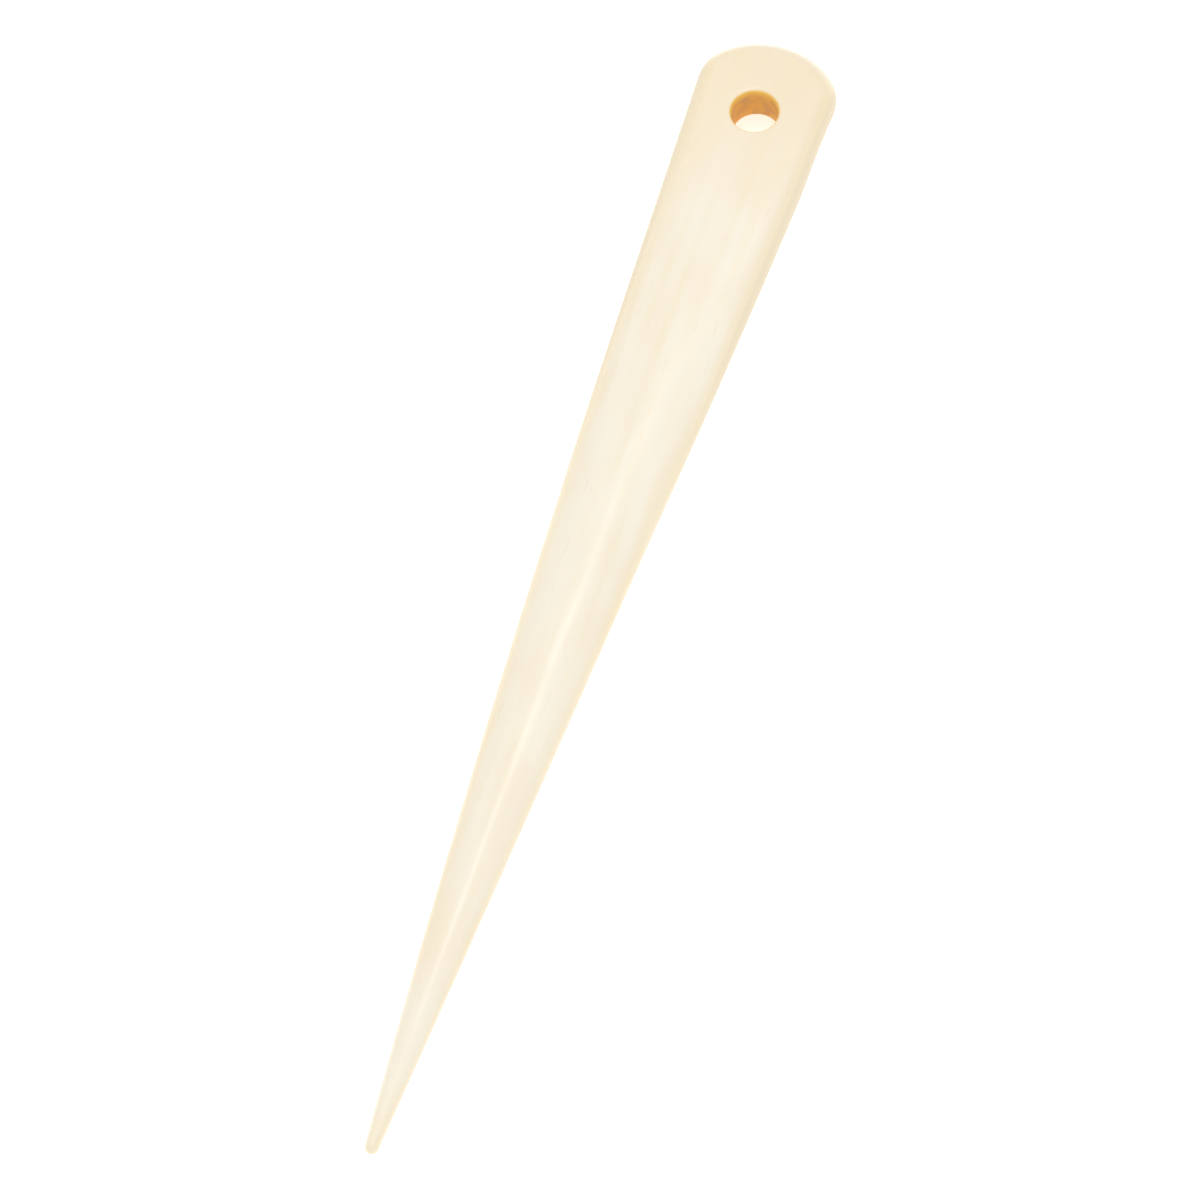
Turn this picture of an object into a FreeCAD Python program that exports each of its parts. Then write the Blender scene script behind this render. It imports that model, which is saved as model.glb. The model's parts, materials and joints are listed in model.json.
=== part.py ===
import FreeCAD, Part
import math
import os
import Sketcher
from FreeCAD import Placement, Rotation, Vector

# A bone folder: one slip of bone, a flat rounded head with a hanging hole at -X, worked down to a
# round point at +X.  It lies on its flat back: Z = 0 is the surface it rests on, and the origin is
# in the middle of its length and width.  Millimetres.

os.makedirs("parts", exist_ok=True)
doc = FreeCAD.newDocument("BoneFolder")


# ---- driving dimensions -------------------------------------------------------------------------

DIMENSIONS = [
    # alias, value, what it measures
    ("overall_length", 150.0, "end of the head to the very point"),
    ("head_width", 16.4, "across the widest part of the head"),
    ("head_thickness", 5.0, "thickness of the slip at the head"),
    ("end_depth", 6.3, "end of the head to its widest part"),
    ("corner_radius", 5.2, "plan radius of the head's two corners"),
    ("head_length", 30.0, "end of the head to where the thinning starts"),
    ("edge_bow", 0.54, "how far a long edge bows out from a straight line"),
    ("point_width", 1.45, "width of the point before it is rounded off"),
    ("point_thickness", 1.5, "thickness of the point before it is rounded off"),
    ("point_rounding", 0.6, "rounding of the point"),
    ("edge_rounding", 2.2, "rounding of the long edges at the head"),
    ("crown_share", 0.15, "drop of the crowned upper face at its edges, over the thickness"),
    ("hole_diameter", 5.5, "bore of the hanging hole"),
    ("hole_setback", 10.5, "end of the head to the hole's centre"),
    ("rim_rounding", 0.35, "softened rim of the hole"),
]
sheet = doc.addObject("Spreadsheet::Sheet", "Sizes")
for row, (alias, value, meaning) in enumerate(DIMENSIONS, start=1):
    sheet.set(f"A{row}", alias)
    sheet.set(f"B{row}", str(value))
    sheet.set(f"C{row}", meaning)
    sheet.setAlias(f"B{row}", alias)
doc.recompute()


# ---- what follows from them, as expressions over the sheet --------------------------------------

HEAD_END = "(-Sizes.overall_length / 2)"
SHOULDER = f"({HEAD_END} + Sizes.head_length)"
POINT_HALF_WIDTH = "(Sizes.point_width / 2)"
BLADE_LENGTH = "(Sizes.overall_length - Sizes.head_length)"
# The head's straight sides run on into the bowed edges of the blade without a corner.  That fixes
# the half width where they meet: both have the same slope there.
SIDE_RATIO = f"((Sizes.head_length - Sizes.end_depth) / {BLADE_LENGTH})"
BOWED_POINT = f"({POINT_HALF_WIDTH} + 4 * Sizes.edge_bow)"
SHOULDER_HALF_WIDTH = f"((Sizes.head_width / 2 + {SIDE_RATIO} * {BOWED_POINT}) / (1 + {SIDE_RATIO}))"
# The long edges can't be rounder than the slip is thick: some of its side has to stay upright under
# the crowned face.
EDGE_ROUNDING = "min(Sizes.edge_rounding; 0.445 * Sizes.head_thickness)"


def station_x(share):
    """Place of a blade section: share runs from 0 at the shoulder to 1 at the point."""
    return f"({SHOULDER} + {share} * {BLADE_LENGTH})"


def half_width(share):
    """A straight taper plus the bow of the edge."""
    return (f"({SHOULDER_HALF_WIDTH} + {share} * ({POINT_HALF_WIDTH} - {SHOULDER_HALF_WIDTH})"
            f" + {4 * share * (1 - share)} * Sizes.edge_bow)")


def thickness(share):
    """Full at the shoulder, thinning slowly at first and faster towards the point."""
    return f"(Sizes.head_thickness - {share ** 2} * (Sizes.head_thickness - Sizes.point_thickness))"


def edge_radius(share):
    """The long edges keep the same roundness for their thickness, as far as the width leaves room."""
    for_thickness = f"{thickness(share)} * {EDGE_ROUNDING} / Sizes.head_thickness"
    return f"min({for_thickness}; 0.92 * {half_width(share)})"


def crown_radius(share):
    """Radius of the crowned upper face, from its drop at the edges."""
    return f"({half_width(share)} ^ 2 / (2 * Sizes.crown_share * {thickness(share)}))"


def size(expression):
    """Number of an expression over the sheet, to start a sketch close to its solution."""
    return float(sheet.evalExpression(expression))


# ---- the body -----------------------------------------------------------------------------------

body = doc.addObject("PartDesign::Body", "FolderBlade")
body.Label = "folder_blade"
ORIGIN = {feature.Role: feature for feature in body.Origin.OriginFeatures}
START, END, CENTRE = 1, 2, 3
ROOT, X_AXIS, Y_AXIS = -1, -1, -2


def new_sketch(name, plane, offset=None):
    """Sketch on one of the body's own origin planes, moved along its normal by an expression."""
    sketch = body.newObject("Sketcher::SketchObject", name)
    sketch.AttachmentSupport = [(ORIGIN[plane], "")]
    sketch.MapMode = "FlatFace"
    if offset:
        sketch.AttachmentOffset = Placement(Vector(0, 0, size(offset)), Rotation())
        sketch.setExpression("AttachmentOffset.Base.z", offset)
    return sketch


def constrain(sketch, kind, *where, name=None, to=None):
    """Add one constraint; a named one takes its value from an expression over the sheet."""
    if to is None:
        return sketch.addConstraint(Sketcher.Constraint(kind, *where))
    index = sketch.addConstraint(Sketcher.Constraint(kind, *where, size(to)))
    sketch.renameConstraint(index, name)
    sketch.setExpression(f"Constraints.{name}", to)
    return index


def arc(centre, radius, first, last):
    """Arc drawn anticlockwise from first to last."""
    start = math.atan2(first.y - centre.y, first.x - centre.x)
    end = math.atan2(last.y - centre.y, last.x - centre.x)
    return Part.ArcOfCircle(Part.Circle(centre, Vector(0, 0, 1), radius), start, end)


def mirrored(point):
    return Vector(point.x, -point.y, 0)


# ---- head: blunt rounded end with full corners, sides already closing towards the blade ----------

head_plan = new_sketch("HeadPlan", "XY_Plane")
shoulder = Vector(size(SHOULDER), size(SHOULDER_HALF_WIDTH), 0)
corner_radius = size("Sizes.corner_radius")
corner = Vector(size(f"{HEAD_END} + Sizes.end_depth"), size("Sizes.head_width / 2") - corner_radius, 0)
side_start = Vector(corner.x, corner.y + corner_radius, 0)
depth = size("Sizes.end_depth")
end_radius = (depth ** 2 + corner.y ** 2 - corner_radius ** 2) / (2 * (depth - corner_radius))
end_centre = Vector(size(HEAD_END) + end_radius, 0, 0)
end_start = end_centre + (corner - end_centre).normalize() * end_radius

head_plan.addGeometry([
    Part.LineSegment(shoulder, side_start),
    arc(corner, corner_radius, side_start, end_start),
    arc(end_centre, end_radius, end_start, mirrored(end_start)),
    arc(mirrored(corner), corner_radius, mirrored(end_start), mirrored(side_start)),
    Part.LineSegment(mirrored(side_start), mirrored(shoulder)),
    Part.LineSegment(mirrored(shoulder), shoulder),
], False)
SIDE, CORNER, ROUND_END, FAR_CORNER, FAR_SIDE, SHOULDER_LINE = range(6)
for before, after in ((SIDE, CORNER), (CORNER, ROUND_END), (ROUND_END, FAR_CORNER), (FAR_CORNER, FAR_SIDE)):
    constrain(head_plan, "Tangent", before, END, after, START)
constrain(head_plan, "Coincident", FAR_SIDE, END, SHOULDER_LINE, START)
constrain(head_plan, "Coincident", SHOULDER_LINE, END, SIDE, START)
constrain(head_plan, "Symmetric", SIDE, START, FAR_SIDE, END, X_AXIS)
constrain(head_plan, "Symmetric", CORNER, CENTRE, FAR_CORNER, CENTRE, X_AXIS)
constrain(head_plan, "DistanceX", ROOT, START, SIDE, START, name="shoulder_x", to=SHOULDER)
constrain(head_plan, "DistanceY", ROOT, START, SIDE, START, name="shoulder_y", to=SHOULDER_HALF_WIDTH)
constrain(head_plan, "DistanceX", ROOT, START, CORNER, CENTRE, name="corner_x",
          to=f"{HEAD_END} + Sizes.end_depth")
constrain(head_plan, "DistanceY", ROOT, START, CORNER, CENTRE, name="corner_y",
          to="Sizes.head_width / 2 - Sizes.corner_radius")
constrain(head_plan, "Radius", CORNER, name="corner_radius", to="Sizes.corner_radius")
constrain(head_plan, "Radius", FAR_CORNER, name="far_corner_radius", to="Sizes.corner_radius")
end_point = head_plan.addGeometry(Part.Point(Vector(size(HEAD_END), 0, 0)), True)
constrain(head_plan, "PointOnObject", end_point, START, ROUND_END)
constrain(head_plan, "PointOnObject", end_point, START, X_AXIS)
constrain(head_plan, "DistanceX", ROOT, START, end_point, START, name="head_end", to=HEAD_END)

head = body.newObject("PartDesign::Pad", "Head")
head.Profile = head_plan
head.setExpression("Length", "Sizes.head_thickness")
doc.recompute()


def edges_where(feature, test):
    """Names of a feature's edges whose two ends and middle all pass a test."""
    names = []
    for index, edge in enumerate(feature.Shape.Edges, start=1):
        middle = edge.valueAt((edge.FirstParameter + edge.LastParameter) / 2)
        points = [vertex.Point for vertex in edge.Vertexes] + [middle]
        if test(points):
            names.append(f"Edge{index}")
    return names


def is_head_rim(points):
    """True for the upper and lower outline of the head, but not for its shoulder face."""
    level = max(point.z for point in points) - min(point.z for point in points) < 1e-6
    at_shoulder = all(abs(point.x - shoulder.x) < 1e-6 for point in points)
    return level and not at_shoulder


head_edges = body.newObject("PartDesign::Fillet", "HeadEdges")
head_edges.Base = (head, edges_where(head, is_head_rim))
head_edges.setExpression("Radius", EDGE_ROUNDING)
doc.recompute()


# ---- blade: lofted from the head's shoulder through crowned sections down to the point -----------

BLADE_STATIONS = (0.25, 0.5, 0.75, 1.0)
BACK, LOW_RIGHT, RIGHT, HIGH_RIGHT, CROWN, HIGH_LEFT, LEFT, LOW_LEFT = range(8)


def blade_section(share):
    """Flat back, rounded long edges and a crowned upper face, across the blade at one station."""
    sketch = new_sketch(f"BladeSection{round(100 * share):03d}", "YZ_Plane", station_x(share))
    radius, crown = size(edge_radius(share)), size(crown_radius(share))
    low = Vector(size(half_width(share)) - radius, radius, 0)
    crown_centre = Vector(0, size(thickness(share)) - crown, 0)
    high = Vector(low.x, crown_centre.y + math.sqrt((crown - radius) ** 2 - low.x ** 2), 0)
    shoulder_point = crown_centre + (high - crown_centre).normalize() * crown

    def opposite(point):
        return Vector(-point.x, point.y, 0)

    foot = Vector(low.x, 0, 0)
    low_side = Vector(low.x + radius, low.y, 0)
    high_side = Vector(low.x + radius, high.y, 0)
    sketch.addGeometry([
        Part.LineSegment(opposite(foot), foot),
        arc(low, radius, foot, low_side),
        Part.LineSegment(low_side, high_side),
        arc(high, radius, high_side, shoulder_point),
        arc(crown_centre, crown, shoulder_point, opposite(shoulder_point)),
        arc(opposite(high), radius, opposite(shoulder_point), opposite(high_side)),
        Part.LineSegment(opposite(high_side), opposite(low_side)),
        arc(opposite(low), radius, opposite(low_side), opposite(foot)),
    ], False)
    for before in range(8):
        constrain(sketch, "Tangent", before, END, (before + 1) % 8, START)
    constrain(sketch, "PointOnObject", BACK, START, X_AXIS)
    constrain(sketch, "Symmetric", LOW_RIGHT, CENTRE, LOW_LEFT, CENTRE, Y_AXIS)
    constrain(sketch, "Symmetric", HIGH_RIGHT, CENTRE, HIGH_LEFT, CENTRE, Y_AXIS)
    constrain(sketch, "Vertical", RIGHT)
    for other in (HIGH_RIGHT, HIGH_LEFT, LOW_LEFT):
        constrain(sketch, "Equal", LOW_RIGHT, other)
    constrain(sketch, "Radius", LOW_RIGHT, name="edge_radius", to=edge_radius(share))
    constrain(sketch, "Radius", CROWN, name="crown_radius", to=crown_radius(share))
    constrain(sketch, "DistanceX", ROOT, START, RIGHT, START, name="half_width", to=half_width(share))
    constrain(sketch, "DistanceY", CROWN, CENTRE, ROOT, START, name="crown_depth",
              to=f"{crown_radius(share)} - {thickness(share)}")
    return sketch


sections = [blade_section(share) for share in BLADE_STATIONS]
doc.recompute()

shoulder_face = next(f"Face{index}" for index, face in enumerate(head_edges.Shape.Faces, start=1)
                     if abs(face.CenterOfMass.x - shoulder.x) < 1e-6)
blade = body.newObject("PartDesign::AdditiveLoft", "Blade")
blade.Profile = (head_edges, [shoulder_face])
blade.Sections = [(section, [""]) for section in sections]
doc.recompute()


# ---- point: the end of the loft rounded off all round -------------------------------------------

def is_point_rim(points):
    """True for the outline of the small flat face at the end of the loft."""
    return all(abs(point.x - size("Sizes.overall_length / 2")) < 1e-6 for point in points)


point = body.newObject("PartDesign::Fillet", "Point")
point.Base = (blade, edges_where(blade, is_point_rim))
point.setExpression("Radius", f"min(Sizes.point_rounding; 0.95 * {edge_radius(1.0)})")
doc.recompute()


# ---- hanging hole: drilled through the head, both rims softened ----------------------------------

hole_sketch = new_sketch("HoleCentre", "XY_Plane", "Sizes.head_thickness")
hole_centre = Vector(size(f"{HEAD_END} + Sizes.hole_setback"), 0, 0)
bore_radius = size("Sizes.hole_diameter / 2")
hole_sketch.addGeometry(Part.Circle(hole_centre, Vector(0, 0, 1), bore_radius), False)
constrain(hole_sketch, "PointOnObject", 0, CENTRE, X_AXIS)
constrain(hole_sketch, "DistanceX", ROOT, START, 0, CENTRE, name="setback",
          to=f"{HEAD_END} + Sizes.hole_setback")
constrain(hole_sketch, "Radius", 0, name="bore_radius", to="Sizes.hole_diameter / 2")
doc.recompute()
hole = body.newObject("PartDesign::Hole", "HangingHole")
hole.Profile = hole_sketch
hole.ThreadType = "None"
hole.HoleCutType = "None"
hole.DepthType = "ThroughAll"
hole.setExpression("Diameter", "Sizes.hole_diameter")
doc.recompute()


def is_hole_rim(points):
    """True for the two round edges where the bore meets the faces of the head."""
    level = max(point.z for point in points) - min(point.z for point in points) < 1e-6
    from_axis = [math.hypot(point.x - hole_centre.x, point.y) for point in points]
    return level and all(abs(distance - bore_radius) < 1e-6 for distance in from_axis)


rims = body.newObject("PartDesign::Fillet", "HoleRims")
rims.Base = (hole, edges_where(hole, is_hole_rim))
rims.setExpression("Radius", "Sizes.rim_rounding")
body.Tip = rims
doc.recompute()


# ---- checks and hand-over -----------------------------------------------------------------------

for item in doc.Objects:
    failed = [state for state in item.State if state in ("Invalid", "Error")]
    if failed:
        raise SystemExit(f"{item.Name}: {failed}")

bore_volume = math.pi * bore_radius ** 2 * size("Sizes.head_thickness")
if abs(point.Shape.Volume - hole.Shape.Volume - bore_volume) > 0.01 * bore_volume:
    raise SystemExit("the hanging hole didn't cut through the head")

PARTS = [body]
for piece in PARTS:
    shape = piece.Shape
    if shape.isNull() or not shape.isValid() or len(shape.Solids) != 1:
        raise SystemExit(f"{piece.Label}: not one valid solid")
    shape.exportStep(f"parts/{piece.Label}.step")
    print(f"{piece.Label}: {shape.Volume:.1f} mm3, {len(shape.Faces)} faces")
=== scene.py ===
import json
import math
import bmesh
import bpy
from mathutils import Matrix, Vector, noise


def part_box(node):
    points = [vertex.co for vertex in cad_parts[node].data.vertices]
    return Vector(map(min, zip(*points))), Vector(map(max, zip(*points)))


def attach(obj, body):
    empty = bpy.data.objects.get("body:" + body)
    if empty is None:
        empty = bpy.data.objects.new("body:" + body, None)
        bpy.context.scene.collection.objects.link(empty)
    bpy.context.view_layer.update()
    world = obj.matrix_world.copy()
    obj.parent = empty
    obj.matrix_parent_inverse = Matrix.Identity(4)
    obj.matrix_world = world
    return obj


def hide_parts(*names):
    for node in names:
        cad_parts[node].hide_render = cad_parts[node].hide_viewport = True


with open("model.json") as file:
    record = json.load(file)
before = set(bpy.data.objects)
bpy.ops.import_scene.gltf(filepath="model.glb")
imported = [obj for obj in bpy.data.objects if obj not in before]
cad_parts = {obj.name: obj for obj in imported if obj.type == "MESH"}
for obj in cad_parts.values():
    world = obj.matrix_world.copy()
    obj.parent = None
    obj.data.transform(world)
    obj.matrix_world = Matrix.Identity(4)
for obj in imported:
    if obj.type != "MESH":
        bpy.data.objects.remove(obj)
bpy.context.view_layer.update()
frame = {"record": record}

# ---- The slip of bone ----------------------------------------------------------------------------
# The whole tool is one slip of cattle bone, sawn to a long taper, drilled, filed round at its edges
# and polished by hand.  The head stays a flat slab, and the blade turns crowned and then round on
# its way to the point.  It lies on its flat back.

LOW, HIGH = (Vector(corner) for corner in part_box("folder_blade"))
HEAD_END, POINT_END = LOW.x, HIGH.x
HEAD_HALF_WIDTH = HIGH.y
HEAD_THICKNESS = HIGH.z
mounts = {mount["name"]: mount for mount in frame["record"]["mounts"]}
HOLE_CENTRE = Vector(mounts["hanging_hole"]["pos_m"]).to_2d()
BORE_RADIUS = mounts["hanging_hole"]["dims"]["r_mm"] / 1000
BORE_LENGTH = mounts["hanging_hole"]["dims"]["length_mm"] / 1000
RIM_ROUNDING = (HEAD_THICKNESS - BORE_LENGTH) / 2

WIDEST = HEAD_END + 0.0063          # where the head is as wide as it gets
CORNER_RADIUS = 0.0052
SHOULDER = HEAD_END + 0.030         # from here on the blade thins and its edges bow
POINT_HALF_WIDTH = 0.00072
POINT_THICKNESS = 0.0015
EDGE_BOW = 0.00054                  # how far each edge of the blade bows out midway
POINT_LENGTH = 0.0009               # how much of the end is rounded off
EDGE_ROUNDING = 0.00235             # how far in from the outline the filed edge reaches at the head
CROWN_START = SHOULDER - 0.018      # the upper face starts to crown here
CROWN_FULL = SHOULDER + 0.035       # and is round from edge to edge here

# The head's straight sides run into the bowed edges of the blade without a corner.
SIDE_RATIO = (SHOULDER - WIDEST) / (POINT_END - SHOULDER)
BOWED_POINT = POINT_HALF_WIDTH + 4 * EDGE_BOW
SHOULDER_HALF_WIDTH = (HEAD_HALF_WIDTH + SIDE_RATIO * BOWED_POINT) / (1 + SIDE_RATIO)
CORNER = Vector((WIDEST, HEAD_HALF_WIDTH - CORNER_RADIUS))
to_shoulder = Vector((SHOULDER, SHOULDER_HALF_WIDTH)) - CORNER
SIDE_ANGLE = math.asin(CORNER_RADIUS / to_shoulder.length)
SIDE_ANGLE -= math.atan2(to_shoulder.y, to_shoulder.x)
SIDE_START = WIDEST + CORNER_RADIUS * math.sin(SIDE_ANGLE)
END_DEPTH = WIDEST - HEAD_END
END_RADIUS = (END_DEPTH ** 2 + CORNER.y ** 2 - CORNER_RADIUS ** 2) / (2 * (END_DEPTH - CORNER_RADIUS))
END_CENTRE = Vector((HEAD_END + END_RADIUS, 0))
END_ARC = math.atan2(CORNER.y, END_CENTRE.x - CORNER.x)     # half angle that the blunt end spans


def smooth_step(low, high, value):
    """0 up to low, 1 from high on, with an even curve between them."""
    share = min(max((value - low) / (high - low), 0), 1)
    return share * share * (3 - 2 * share)


def along(x):
    """0 at the shoulder, 1 at the point."""
    return min(max((x - SHOULDER) / (POINT_END - SHOULDER), 0), 1)


def half_width(x):
    """Half the width of the slip, past the blunt end of the head."""
    if x < SIDE_START:
        return CORNER.y + math.sqrt(CORNER_RADIUS ** 2 - (x - CORNER.x) ** 2)
    if x < SHOULDER:
        return SHOULDER_HALF_WIDTH + math.tan(SIDE_ANGLE) * (SHOULDER - x)
    share = along(x)
    return SHOULDER_HALF_WIDTH + share * (POINT_HALF_WIDTH - SHOULDER_HALF_WIDTH) \
        + 4 * EDGE_BOW * share * (1 - share)


def thickness(x):
    """The head is even, and the blade thins faster the nearer it comes to the point."""
    return HEAD_THICKNESS - along(x) ** 2 * (HEAD_THICKNESS - POINT_THICKNESS)


def rounded(share):
    """Quarter round: 0 at the edge, rising steeply at first, 1 where the face begins."""
    at_edge = 1e-4                  # closer than this is on the edge itself
    share = min(max(share, 0), 1) if share > at_edge else 0
    return math.sqrt(1 - (1 - share) ** 2)


def point_round(x):
    """Falls from 1 to 0 over the rounded end of the point."""
    return rounded((POINT_END - x) / POINT_LENGTH)


def edge_distance(x, y):
    """How far a place on the slip lies in from its outline."""
    y = abs(y)
    if x >= WIDEST:
        return half_width(x) * point_round(x) - y
    from_corner = Vector((x, y)) - CORNER
    if math.atan2(from_corner.y, -from_corner.x) > END_ARC:
        return CORNER_RADIUS - from_corner.length
    return END_RADIUS - (Vector((x, y)) - END_CENTRE).length


def face_height(x, y, upper):
    """Height of the upper face, or of the back, at a place on the slip."""
    half = half_width(x) if x > WIDEST else HEAD_HALF_WIDTH
    middle = thickness(x) / 2
    end = point_round(x)
    inward = edge_distance(x, y) / max(end, 1e-9)
    edge = min(EDGE_ROUNDING * thickness(x) / HEAD_THICKNESS, half)
    rise = rounded(inward / edge)
    if upper:
        rise += (rounded(inward / half) - rise) * smooth_step(CROWN_START, CROWN_FULL, x)
    rise *= middle * end
    from_bore = (Vector((x, y)) - HOLE_CENTRE).length - BORE_RADIUS
    rise -= RIM_ROUNDING * (1 - rounded(from_bore / RIM_ROUNDING))
    return middle + rise if upper else middle - rise


FILE_DEPTH = 0.00007                # deepest that the file dug into the upper face
FILE_WAVES = Vector((110, 150))     # ups and downs it left to the metre, along and across
FILE_PATTERN = 3.1                  # which slice of the random pattern they follow
POINT_LEAN = 0.0002                 # sideways shift of the point
BLADE_LEAN = 0.0005                 # and the other way along the blade, a quarter of this at most
SIDE_SWELL = 0.0003                 # how much fuller the +Y edge is below the head


def hand_work(x, y):
    """Shallow unevenness that filing by hand leaves along the upper face, always into the bone."""
    depth = FILE_DEPTH * smooth_step(HEAD_END + 0.022, SHOULDER + 0.008, x) * point_round(x)
    waves = Vector((x * FILE_WAVES.x, y * FILE_WAVES.y, FILE_PATTERN))
    return depth * (noise.noise(waves) - 1) / 2


def lean(x):
    """The slip isn't dead straight: sideways shift of the blade's middle line."""
    share = along(x)
    return POINT_LEAN * share ** 3 - BLADE_LEAN * share * (1 - share)


def fuller_side(x, y):
    """Below the head the +Y edge was filed away a little less than the other one."""
    begin, end = HEAD_END + 0.010, SHOULDER + 0.050
    swell = smooth_step(begin, begin + 0.010, x) * (1 - smooth_step(end - 0.035, end, x))
    return SIDE_SWELL * swell * max(y, 0) / HEAD_HALF_WIDTH


HEAD_JOIN = HOLE_CENTRE.x + 0.010   # the rings round the hole end here and the blade's rows begin
HEAD_PLACES, BLADE_COLUMNS = 132, 48
BLADE_ROWS, POINT_ROWS = 150, 10
RIM_RINGS, LAND_RINGS, EDGE_RINGS = 6, 7, 12
RINGS = RIM_RINGS + LAND_RINGS + EDGE_RINGS


def across(share):
    """-1 to 1 over the width, crowded towards both filed edges."""
    return math.sin(math.pi * (share - 0.5))


def head_outline(share):
    """Place on the head's outline: 0 where it joins the blade on the +Y side, 1 on the -Y side."""
    side = 1 if share <= 0.5 else -1
    straight = HEAD_JOIN - WIDEST
    corner = CORNER_RADIUS * (math.pi / 2 - END_ARC)
    blunt = END_RADIUS * END_ARC
    way = 2 * min(share, 1 - share) * (straight + corner + blunt)
    if way < straight:
        return Vector((HEAD_JOIN - way, side * half_width(HEAD_JOIN - way)))
    if way < straight + corner:
        turn = (way - straight) / CORNER_RADIUS
        return Vector((CORNER.x - CORNER_RADIUS * math.sin(turn),
                       side * (CORNER.y + CORNER_RADIUS * math.cos(turn))))
    turn = (straight + corner + blunt - way) / END_RADIUS
    return Vector((END_CENTRE.x - END_RADIUS * math.cos(turn), side * END_RADIUS * math.sin(turn)))


def outline_place(step):
    """Outline of the head, closed by the first row of the blade."""
    step %= HEAD_PLACES + BLADE_COLUMNS
    if step < HEAD_PLACES:
        return head_outline(step / HEAD_PLACES)
    return Vector((HEAD_JOIN, half_width(HEAD_JOIN) * across((step - HEAD_PLACES) / BLADE_COLUMNS)))


def ring_place(step, ring):
    """Place on the ray from the hole to the outline: rings crowd at the rim and at the filed edge."""
    outer = outline_place(step)
    ray = (outer - HOLE_CENTRE).normalized()
    inner = HOLE_CENTRE + ray * BORE_RADIUS
    length = (outer - inner).length
    if ring <= RIM_RINGS:
        way = RIM_ROUNDING * (1 - math.cos(math.pi / 2 * ring / RIM_RINGS))
    elif ring >= RIM_RINGS + LAND_RINGS:
        way = length - EDGE_ROUNDING * (1 - math.cos(math.pi / 2 * (RINGS - ring) / EDGE_RINGS))
    else:
        land = length - EDGE_ROUNDING - RIM_ROUNDING
        way = RIM_ROUNDING + land * (ring - RIM_RINGS) / LAND_RINGS
    return inner + ray * way


def blade_place(row, column):
    """Place in the blade: rows of even length, closing up over the rounded point."""
    even_rows = BLADE_ROWS - POINT_ROWS
    length = POINT_END - HEAD_JOIN
    if row <= even_rows:
        x = HEAD_JOIN + (length - POINT_LENGTH) * row / even_rows
    else:
        turn = math.pi / 2 * (1 - (BLADE_ROWS - row) / POINT_ROWS)
        x = POINT_END - POINT_LENGTH * (1 - math.sin(turn))
    return Vector((x, half_width(x) * point_round(x) * across(column / BLADE_COLUMNS)))


def lay_grid(mesh, columns, rows, place):
    """A grid of the mesh whose points are laid out in plan by place(column, row)."""
    made = bmesh.ops.create_grid(mesh, x_segments=columns, y_segments=rows, size=1)["verts"]
    for vert in made:
        column = round((vert.co.x + 1) / 2 * columns)
        row = round((vert.co.y + 1) / 2 * rows)
        vert.co = place(column, row).to_3d()


TOUCHING = 2e-7                     # points closer than this are one point
slip = bmesh.new()
lay_grid(slip, HEAD_PLACES + BLADE_COLUMNS, RINGS, ring_place)
lay_grid(slip, BLADE_ROWS, BLADE_COLUMNS, blade_place)
bmesh.ops.remove_doubles(slip, verts=slip.verts, dist=TOUCHING)

# The plan is the upper face, and a copy of it the back.  Each is raised to its height, and they meet
# along the outline.
back = bmesh.ops.duplicate(slip, geom=slip.verts[:] + slip.edges[:] + slip.faces[:])["geom"]
back_verts = {item for item in back if isinstance(item, bmesh.types.BMVert)}
for vert in slip.verts:
    upper = vert not in back_verts
    x, y = vert.co.xy
    vert.co.z = face_height(x, y, upper)
    if upper:
        vert.co.z += hand_work(x, y) * rounded(edge_distance(x, y) / EDGE_ROUNDING)
bmesh.ops.remove_doubles(slip, verts=slip.verts, dist=TOUCHING)

# The drilled wall joins the two rims of the hole.
rim_edges = [edge for edge in slip.edges if edge.is_boundary]
WALL_RINGS = 10
wall = bmesh.ops.bridge_loops(slip, edges=rim_edges)["edges"]
bmesh.ops.subdivide_edges(slip, edges=wall, cuts=WALL_RINGS)
bmesh.ops.recalc_face_normals(slip, faces=slip.faces)

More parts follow.
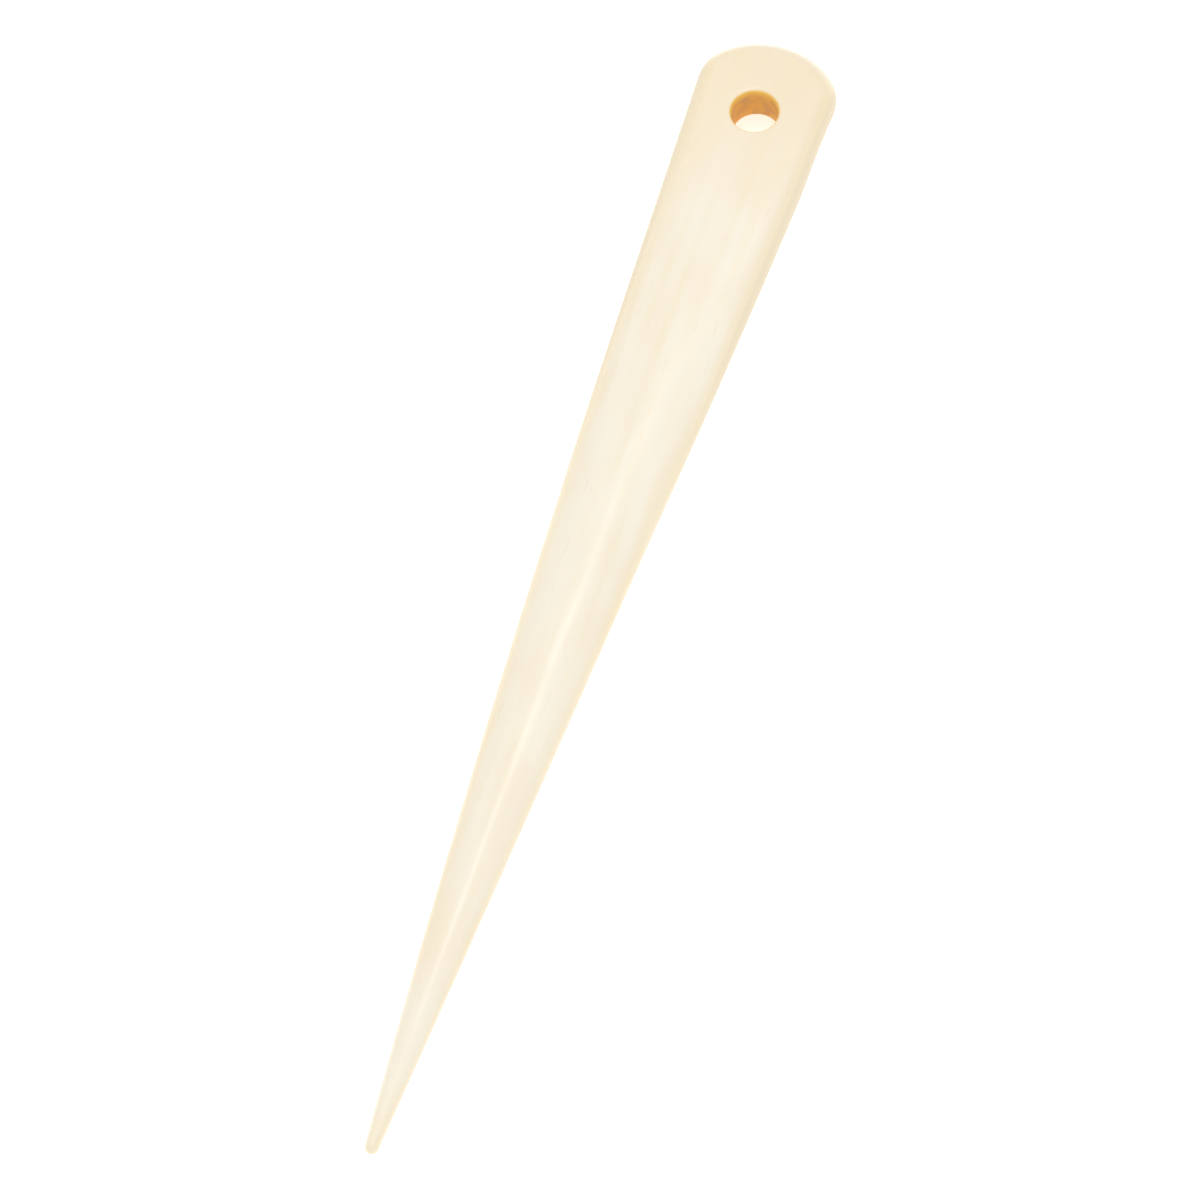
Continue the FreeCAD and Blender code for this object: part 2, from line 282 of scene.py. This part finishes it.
# What the finish needs to know of each place: how near it is to the filed edge, where painted shade
# goes; how near to the rim of the blunt end, where a pale painted highlight goes; and how far it is
# in the bore, which gets amber painted shade.
edge_shade_layer = slip.verts.layers.float.new("edge_shade_and_honey")
end_rim_highlight_layer = slip.verts.layers.float.new("end_rim_highlight")
bore_layer = slip.verts.layers.float.new("painted_bore_shade")
PLUS_SIDE_REACH = 0.85              # how far in the painted edge shade and honey tone show, as a share of the filed edge
MINUS_SIDE_REACH = 1.5
REACH_LOST = 0.35                   # what the -Y side loses of it past the shoulder
EDGE_FADING = 0.3                   # what the painted edge shade and honey tone lose along the blade
END_HIGHLIGHT_WIDTH = 0.0024
for vert in slip.verts:
    x, y = vert.co.xy
    narrowing = half_width(max(x, WIDEST)) / HEAD_HALF_WIDTH
    inward = edge_distance(x, y)
    beside_end = smooth_step(HEAD_END + 0.001, HEAD_END + 0.006, x)
    lost = REACH_LOST * smooth_step(SHOULDER - 0.010, SHOULDER + 0.012, x)
    reach = PLUS_SIDE_REACH if y > 0 else MINUS_SIDE_REACH - lost
    fading = 1 - EDGE_FADING * smooth_step(SHOULDER, SHOULDER + 0.040, x)
    # Mask of the painted edge shade, which also carries the honey tone of the filed edge.
    at_edge = 1 - smooth_step(0, reach * EDGE_ROUNDING * narrowing, inward)
    vert[edge_shade_layer] = fading * beside_end * at_edge
    # Mask of the pale painted highlight along the rim of the blunt end.
    vert[end_rim_highlight_layer] = (1 - beside_end) * (1 - smooth_step(0, END_HIGHLIGHT_WIDTH, inward))
    # Mask of the amber painted shade on the drilled wall.
    from_bore = (Vector((x, y)) - HOLE_CENTRE).length - BORE_RADIUS
    vert[bore_layer] = 1 - smooth_step(0, 0.8 * RIM_ROUNDING, from_bore)
    vert.co.y += lean(x) + fuller_side(x, y)

data = bpy.data.meshes.new("bone_folder")
for face in slip.faces:
    face.smooth = True
slip.to_mesh(data)
slip.free()
folder = bpy.data.objects.new("bone_folder", data)
bpy.context.scene.collection.objects.link(folder)
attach(folder, "root")
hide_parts("folder_blade")

# Old polished bone: ivory, with painted shade that warms it towards the head; honey where the file
# broke the polish at the edges, with painted shade there and a tan painted shade at the very rim; a
# pale painted highlight along the rim of the blunt end; a few brown flecks along the grain; and amber
# painted shade on the drilled wall, with a gold painted highlight just under its upper rim.
bone = bpy.data.materials.new("polished bone")
bone.use_nodes = True
nodes, links = bone.node_tree.nodes, bone.node_tree.links
shader = nodes["Principled BSDF"]


def socket(sockets, name):
    """The socket of that name that is in use: a Mix node has several that share a name."""
    found = [item for item in sockets if item.name == name and item.enabled]
    return found[-1] if found else sockets[name]


def feed(value, target):
    """Put a number, colour or another node's output into a socket."""
    if isinstance(value, bpy.types.NodeSocket):
        links.new(value, target)
    else:
        target.default_value = value


def along_grain(stretch):
    """Object position, shortened along the slip so that a pattern runs out lengthwise."""
    coordinate = nodes.new("ShaderNodeTexCoord")
    mapping = nodes.new("ShaderNodeMapping")
    mapping.inputs["Scale"].default_value = (1 / stretch, 1, 1)
    links.new(coordinate.outputs["Object"], mapping.inputs["Vector"])
    return mapping.outputs["Vector"]


def cloud(vector, size, detail=2.0):
    """Soft random pattern whose patches are about size metres across."""
    texture = nodes.new("ShaderNodeTexNoise")
    links.new(vector, texture.inputs["Vector"])
    texture.inputs["Scale"].default_value = 1 / size
    texture.inputs["Detail"].default_value = detail
    return texture.outputs["Fac"]


def remap(value, low, high, to_low=0.0, to_high=1.0):
    """Stretch a span of a value smoothly over another span."""
    node = nodes.new("ShaderNodeMapRange")
    node.interpolation_type = "SMOOTHSTEP"
    node.inputs["From Min"].default_value = low
    node.inputs["From Max"].default_value = high
    node.inputs["To Min"].default_value = to_low
    node.inputs["To Max"].default_value = to_high
    links.new(value, node.inputs["Value"])
    return node.outputs["Result"]


def blend(share, first, second):
    """Mix two colours."""
    node = nodes.new("ShaderNodeMix")
    node.data_type = "RGBA"
    feed(share, socket(node.inputs, "Factor"))
    feed(first, socket(node.inputs, "A"))
    feed(second, socket(node.inputs, "B"))
    return socket(node.outputs, "Result")


def times(first, second):
    """Product of two numbers."""
    node = nodes.new("ShaderNodeMath")
    node.operation = "MULTIPLY"
    feed(first, node.inputs[0])
    feed(second, node.inputs[1])
    return node.outputs[0]


def attribute(name):
    """One of the values that the mesh carries at each of its points."""
    node = nodes.new("ShaderNodeAttribute")
    node.attribute_name = name
    return node.outputs["Fac"]


IVORY = (0.78, 0.722, 0.605, 1)
WARM_IVORY_AND_HEAD_SHADE = (0.755, 0.635, 0.445, 1)
PAINTED_END_HIGHLIGHT = (0.785, 0.735, 0.63, 1)
HONEY_AND_EDGE_SHADE = (0.755, 0.645, 0.42, 1)
PAINTED_EDGE_SHADE = (0.68, 0.59, 0.43, 1)
FLECK_BROWN = (0.62, 0.49, 0.31, 1)
BORE_TOP_HIGHLIGHT = (0.88, 0.58, 0.12, 1)
BORE_SHADE_AMBER = (0.81, 0.48, 0.10, 1)
BORE_SHADE_BROWN = (0.67, 0.40, 0.13, 1)

position = nodes.new("ShaderNodeSeparateXYZ")
links.new(nodes.new("ShaderNodeTexCoord").outputs["Object"], position.inputs[0])
# Painted shade: the colour warms and darkens towards the head, around the hole.
head_shade = remap(position.outputs["X"], HEAD_END + 0.032, HEAD_END + 0.002)
colour = blend(times(head_shade, 0.85), IVORY, WARM_IVORY_AND_HEAD_SHADE)
mottling = remap(cloud(along_grain(3), 0.005), 0.35, 0.75, 0.0, 0.36)
colour = blend(mottling, colour, WARM_IVORY_AND_HEAD_SHADE)
grain_lines = remap(cloud(along_grain(16), 0.0015, 2.5), 0.42, 0.75, 0.0, 0.35)
colour = blend(grain_lines, colour, HONEY_AND_EDGE_SHADE)
edge_shade_and_honey = attribute("edge_shade_and_honey")
# Painted shade along the filed edges, in their honey tone; the outermost rim gets a darker tan
# painted shade.
colour = blend(times(edge_shade_and_honey, 0.80), colour, HONEY_AND_EDGE_SHADE)
colour = blend(remap(edge_shade_and_honey, 0.60, 1.0, 0.0, 0.9), colour, PAINTED_EDGE_SHADE)
towards_point = remap(position.outputs["X"], POINT_END - 0.012, POINT_END - 0.001)
colour = blend(times(towards_point, 0.30), colour, HONEY_AND_EDGE_SHADE)
# Painted highlight: a paler band along the rim of the blunt end.
colour = blend(times(attribute("end_rim_highlight"), 0.7), colour, PAINTED_END_HIGHLIGHT)
flecks = remap(cloud(along_grain(9), 0.00045, 2.0), 0.66, 0.74, 0.0, 0.18)
colour = blend(flecks, colour, FLECK_BROWN)
# Painted shade on the drilled wall: amber, in random patches of brown.
bore_shade_patches = remap(cloud(along_grain(1), 0.0012, 3.0), 0.40, 0.70)
bore_shade_colour = blend(bore_shade_patches, BORE_SHADE_AMBER, BORE_SHADE_BROWN)
# Painted highlight: a lighter gold band just below the upper rim of the bore.
lit_bore_top = remap(position.outputs["Z"], HEAD_THICKNESS - 0.0014, HEAD_THICKNESS - 0.0004)
bore_shade_colour = blend(lit_bore_top, bore_shade_colour, BORE_TOP_HIGHLIGHT)
painted_bore_shade = attribute("painted_bore_shade")
colour = blend(painted_bore_shade, colour, bore_shade_colour)
links.new(colour, shader.inputs["Base Color"])

# Handling polished the faces and left a patchy shine over them.  The filed edges and the drilled wall
# stayed dull.
DULL = 0.58
polish = remap(cloud(along_grain(4), 0.0025, 2.5), 0.35, 0.70, 0.28, 0.36)
unpolished = nodes.new("ShaderNodeMath")
unpolished.operation = "MAXIMUM"
links.new(remap(edge_shade_and_honey, 0.3, 1.0), unpolished.inputs[0])
links.new(painted_bore_shade, unpolished.inputs[1])
dulled = nodes.new("ShaderNodeMix")
feed(unpolished.outputs[0], socket(dulled.inputs, "Factor"))
feed(polish, socket(dulled.inputs, "A"))
feed(DULL, socket(dulled.inputs, "B"))
links.new(socket(dulled.outputs, "Result"), shader.inputs["Roughness"])
shine = remap(cloud(along_grain(3), 0.0035, 1.0), 0.38, 0.60, 0.22, 0.55)
polished = remap(unpolished.outputs[0], 0.0, 0.8, 1.0, 0.0)
links.new(times(shine, polished), shader.inputs["Coat Weight"])
shader.inputs["IOR"].default_value = 1.54
shader.inputs["Coat Roughness"].default_value = 0.17
shader.inputs["Subsurface Weight"].default_value = 0.12
shader.inputs["Subsurface Radius"].default_value = (0.0022, 0.0015, 0.0009)
shader.inputs["Subsurface Scale"].default_value = 1.0

grain = nodes.new("ShaderNodeBump")
grain.inputs["Strength"].default_value = 0.14
grain.inputs["Distance"].default_value = 0.00003
links.new(cloud(along_grain(12), 0.0005, 3.0), grain.inputs["Height"])
links.new(grain.outputs["Normal"], shader.inputs["Normal"])
data.materials.append(bone)

# ---- The table -----------------------------------------------------------------------------------
# A plain matt white sheet under the folder.  It gives off a faint light of its own, as a light table
# does, which keeps shadows off it and shows it white through the hole.

floor_mesh = bmesh.new()
bmesh.ops.create_grid(floor_mesh, x_segments=1, y_segments=1, size=3)
floor_data = bpy.data.meshes.new("table")
floor_mesh.to_mesh(floor_data)
floor_mesh.free()
table = bpy.data.objects.new("table", floor_data)
bpy.context.scene.collection.objects.link(table)
table_white = bpy.data.materials.new("white sheet")
table_white.use_nodes = True
sheet = table_white.node_tree.nodes["Principled BSDF"]
sheet.inputs["Base Color"].default_value = (0.9, 0.9, 0.9, 1)
sheet.inputs["Roughness"].default_value = 0.9
sheet.inputs["Emission Color"].default_value = (1, 1, 1, 1)
sheet.inputs["Emission Strength"].default_value = 0.48
floor_data.materials.append(table_white)

# ---- Light and camera ----------------------------------------------------------------------------
# A bright white room, one large soft light overhead and a short narrow one whose reflection draws the
# streak along the blade.  The camera looks down on the folder from beyond its point, through a long
# lens.

world = bpy.data.worlds.new("studio")
bpy.context.scene.world = world
world.use_nodes = True
world.node_tree.nodes["Background"].inputs["Color"].default_value = (1, 1, 1, 1)
world.node_tree.nodes["Background"].inputs["Strength"].default_value = 0.94


def soft_light(name, place, width, length, power):
    """A lamp that faces the folder's middle, its width across the folder and its length along it."""
    light = bpy.data.lights.new(name, "AREA")
    light.shape = "RECTANGLE"
    light.size = width
    light.size_y = length
    light.energy = power
    lamp = bpy.data.objects.new(name, light)
    down = -Vector(place).normalized()
    across_slip = Vector((0, 1, 0))
    lengthwise = down.cross(across_slip).normalized()
    turned = Matrix((lengthwise.cross(-down), lengthwise, -down)).transposed().to_4x4()
    lamp.matrix_world = Matrix.Translation(place) @ turned
    bpy.context.scene.collection.objects.link(lamp)


soft_light("overhead softbox", (-0.30, -0.05, 1.1), 1.6, 1.6, 4.6)
soft_light("short strip", (-0.38, -0.078, 0.90), 0.075, 0.2, 0.29)

camera_data = bpy.data.cameras.new("camera")
camera = bpy.data.objects.new("camera", camera_data)
bpy.context.scene.collection.objects.link(camera)
camera_data.sensor_width = 36
camera_data.lens = 360
camera_data.clip_end = 20
camera_place = (0.65085, 0.27238, 1.14801)
right = Vector((-0.31027, 0.94946, -0.04756))
down = Vector((0.81873, 0.24146, -0.52094))
ahead = Vector((-0.48313, -0.20057, -0.85227))
turned = Matrix((right, -down, -ahead)).transposed().to_4x4()
camera.matrix_world = Matrix.Translation(camera_place) @ turned
bpy.context.scene.camera = camera
bpy.context.scene.view_settings.view_transform = "Standard"
